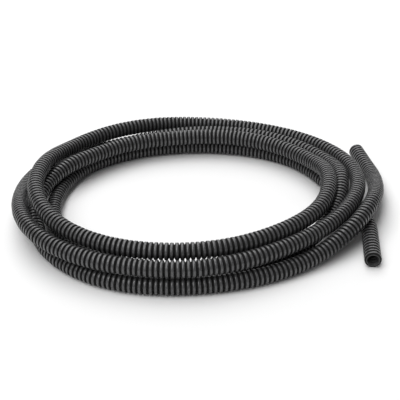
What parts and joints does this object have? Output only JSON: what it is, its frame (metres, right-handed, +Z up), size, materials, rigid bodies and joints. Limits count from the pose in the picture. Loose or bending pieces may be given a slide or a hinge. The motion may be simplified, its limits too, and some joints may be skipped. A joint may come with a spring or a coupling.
{
  "type": "corrugated cable sleeve coil",
  "caption": "Flexible corrugated plastic cable sleeve laid in a loose coil, with ring ridges all along it and both ends cut open for a cable to go in.",
  "frame": {"origin": "on the floor under the middle of the coil's box", "axes": "+Z up, +X along the coil's longer side towards its two ends, +Y towards the back of the picture"},
  "size_m": [0.2374, 0.2008, 0.0292],
  "materials": {
    "sleeve_plastic": "satin black moulded plastic"
  },
  "bodies": {
    "root": {"corrugated_sleeve": "sleeve_plastic"}
  },
  "joints": []
}
